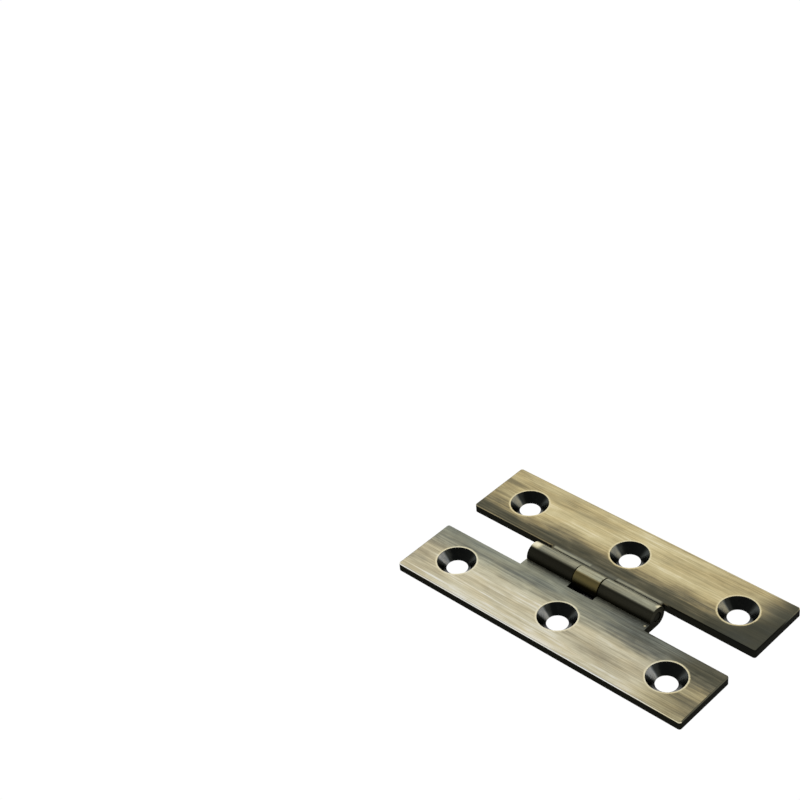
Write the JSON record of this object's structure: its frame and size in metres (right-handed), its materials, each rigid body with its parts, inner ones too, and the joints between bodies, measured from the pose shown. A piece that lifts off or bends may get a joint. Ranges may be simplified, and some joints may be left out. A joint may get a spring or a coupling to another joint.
{
  "type": "h hinge",
  "caption": "Surface H hinge in brushed antique brass: flat oblong leaves on either side of a short knuckle barrel, countersunk for wood screws.",
  "frame": {"origin": "middle of the knuckle barrel, on the plane of the two leaf backs", "axes": "+X along the pin, +Y from the pin towards the leaf with the centre knuckle, +Z out of the countersunk faces"},
  "size_m": [0.0636, 0.035, 0.0041],
  "materials": {
    "antique_brass": "brushed along the length over a dark oxide, oxide left in the countersinks, on the edges and on the barrel",
    "pin_brass": "dark oxide"
  },
  "bodies": {
    "frame_side": {"frame_leaf": "antique_brass", "hinge_pin": "pin_brass"},
    "door_side": {"door_leaf": "antique_brass"}
  },
  "joints": [
    {"name": "leaf_swing", "type": "hinge", "parent": "frame_side", "child": "door_side", "pos_m": [0, 0, 0.00205], "axis": [1, 0, 0], "range_deg": [-113, 180]}
  ]
}
